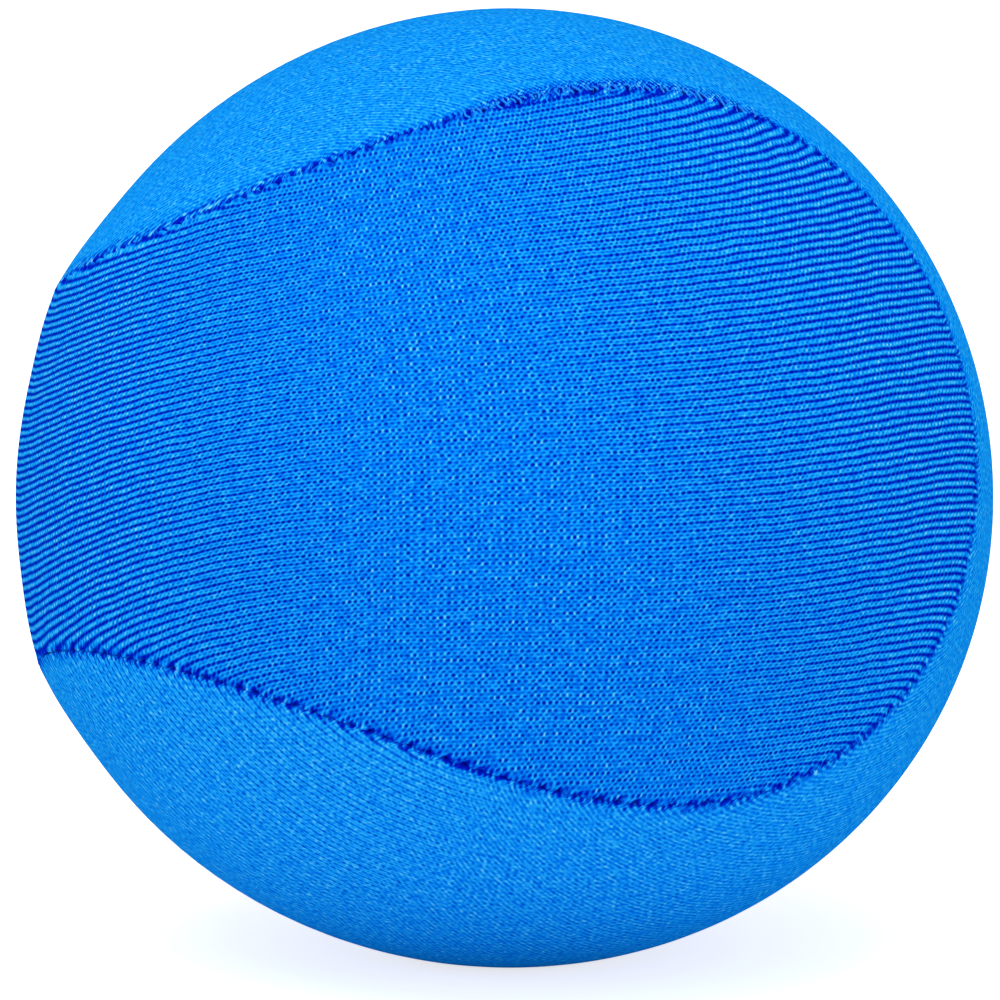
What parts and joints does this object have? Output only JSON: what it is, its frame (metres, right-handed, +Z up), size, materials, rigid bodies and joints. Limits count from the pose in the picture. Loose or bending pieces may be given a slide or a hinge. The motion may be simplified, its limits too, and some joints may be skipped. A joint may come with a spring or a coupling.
{
  "type": "soft play ball",
  "caption": "Hand-size soft play ball: a solid gel core in a close stretch-knit cover of dog-bone panels, joined by an endless turned-in seam like a tennis ball's.",
  "frame": {"origin": "centre of the bounding box's bottom, on the small flat that the soft ball settles onto", "axes": "+Z up, -Y the front, toward the front panel's lobe, +X to the right as seen from the front"},
  "size_m": [0.0629, 0.0626, 0.0612],
  "materials": {
    "gel": "clear elastic gel, slightly tacky, satin",
    "cover_knit": "bright azure blue stretch warp knit, fine ribs, soft sheen",
    "sewing_thread": "textured polyester overlock thread in the cover's blue",
    "closing_thread": "twisted polyester hand-sewing thread in the cover's blue"
  },
  "bodies": {
    "root": {"gel_core": "gel", "front_panel": "cover_knit", "back_panel": "cover_knit", "needle_thread": "sewing_thread", "upper_looper_thread": "sewing_thread", "lower_looper_thread": "sewing_thread", "closing_thread": "closing_thread"}
  },
  "joints": []
}
